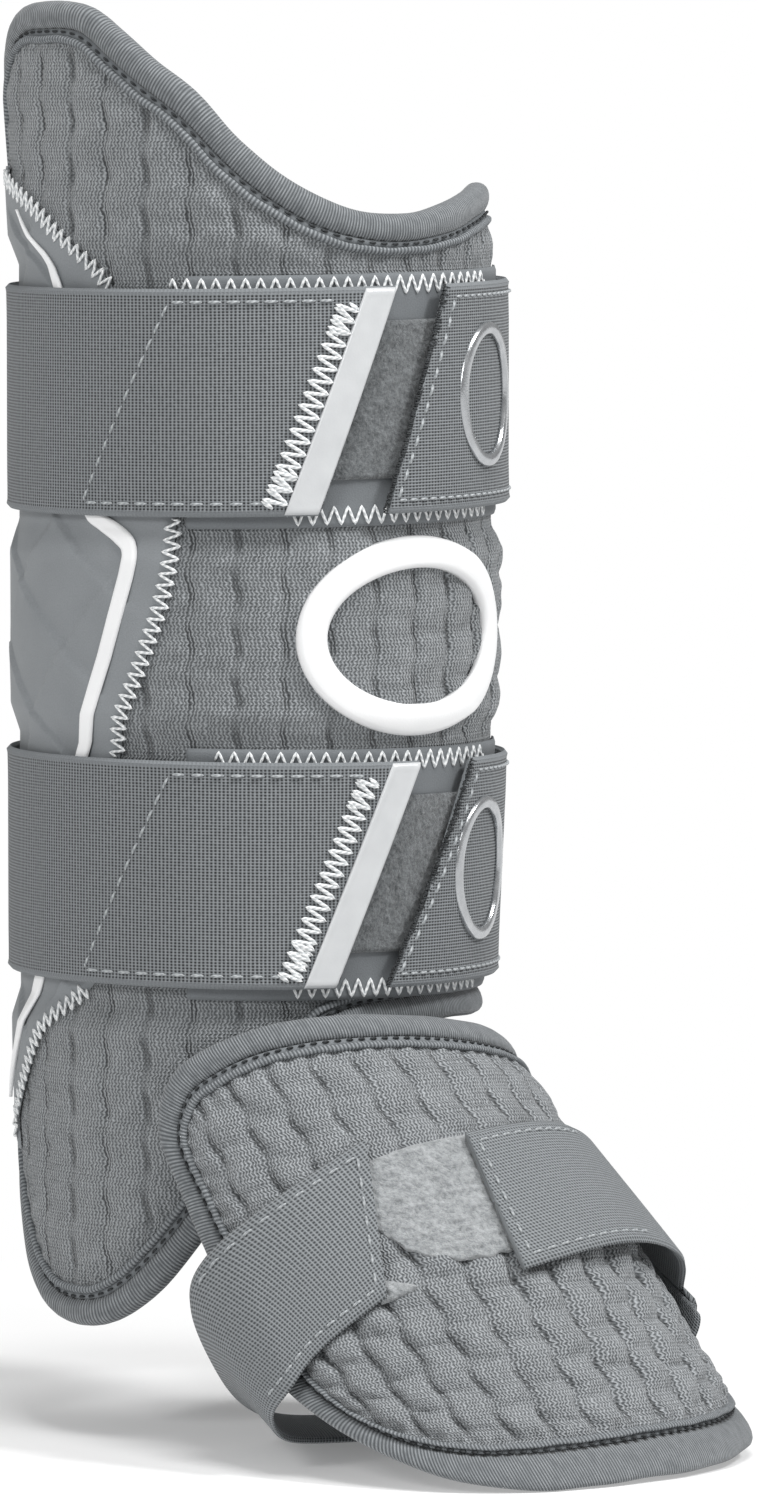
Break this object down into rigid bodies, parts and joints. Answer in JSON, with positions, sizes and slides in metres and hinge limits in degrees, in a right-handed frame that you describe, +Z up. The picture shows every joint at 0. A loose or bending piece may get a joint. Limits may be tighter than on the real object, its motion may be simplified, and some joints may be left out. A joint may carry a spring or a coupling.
{
  "type": "batter's leg guard",
  "caption": "Padded shin shell with a raised outer knee wing, a moulded side plate, wrap straps on front loop panels, and a padded instep flap held by a strap under the arch.",
  "frame": {"origin": "on the leg's axis in the middle of the shin hollow, 230 mm above the ground that the sole stands on", "axes": "+Z up along the leg, -Y towards the toes, -X to the outer side of the leg, where the side plate is"},
  "size_m": [0.1511, 0.2363, 0.3945],
  "materials": {
    "knit": "grey quilted knit over foam",
    "binding_knit": "ribbed knit edge tape",
    "webbing": "woven elastic webbing",
    "loop_pile": "brushed dark loop pile",
    "pale_loop_pile": "brushed pale grey loop pile",
    "moulded_plate": "heat-moulded smooth grey shell fabric",
    "white_film": "white raised film",
    "silver_film": "satin silver film"
  },
  "bodies": {
    "root": {"shin_pad": "knit", "shin_binding": "binding_knit", "side_plate": "moulded_plate", "side_plate_trim": "white_film", "upper_loop_panel": "webbing", "upper_loop_pile": "loop_pile", "upper_strap": "webbing", "upper_strap_tab": "silver_film", "upper_strap_badge": "silver_film", "lower_loop_panel": "webbing", "lower_loop_pile": "loop_pile", "lower_strap": "webbing", "lower_strap_tab": "silver_film", "lower_strap_badge": "silver_film", "front_badge": "white_film", "foot_pad": "knit", "foot_binding": "binding_knit", "foot_loop_patch": "pale_loop_pile", "foot_strap": "webbing", "ankle_tongue": "webbing"}
  },
  "joints": []
}
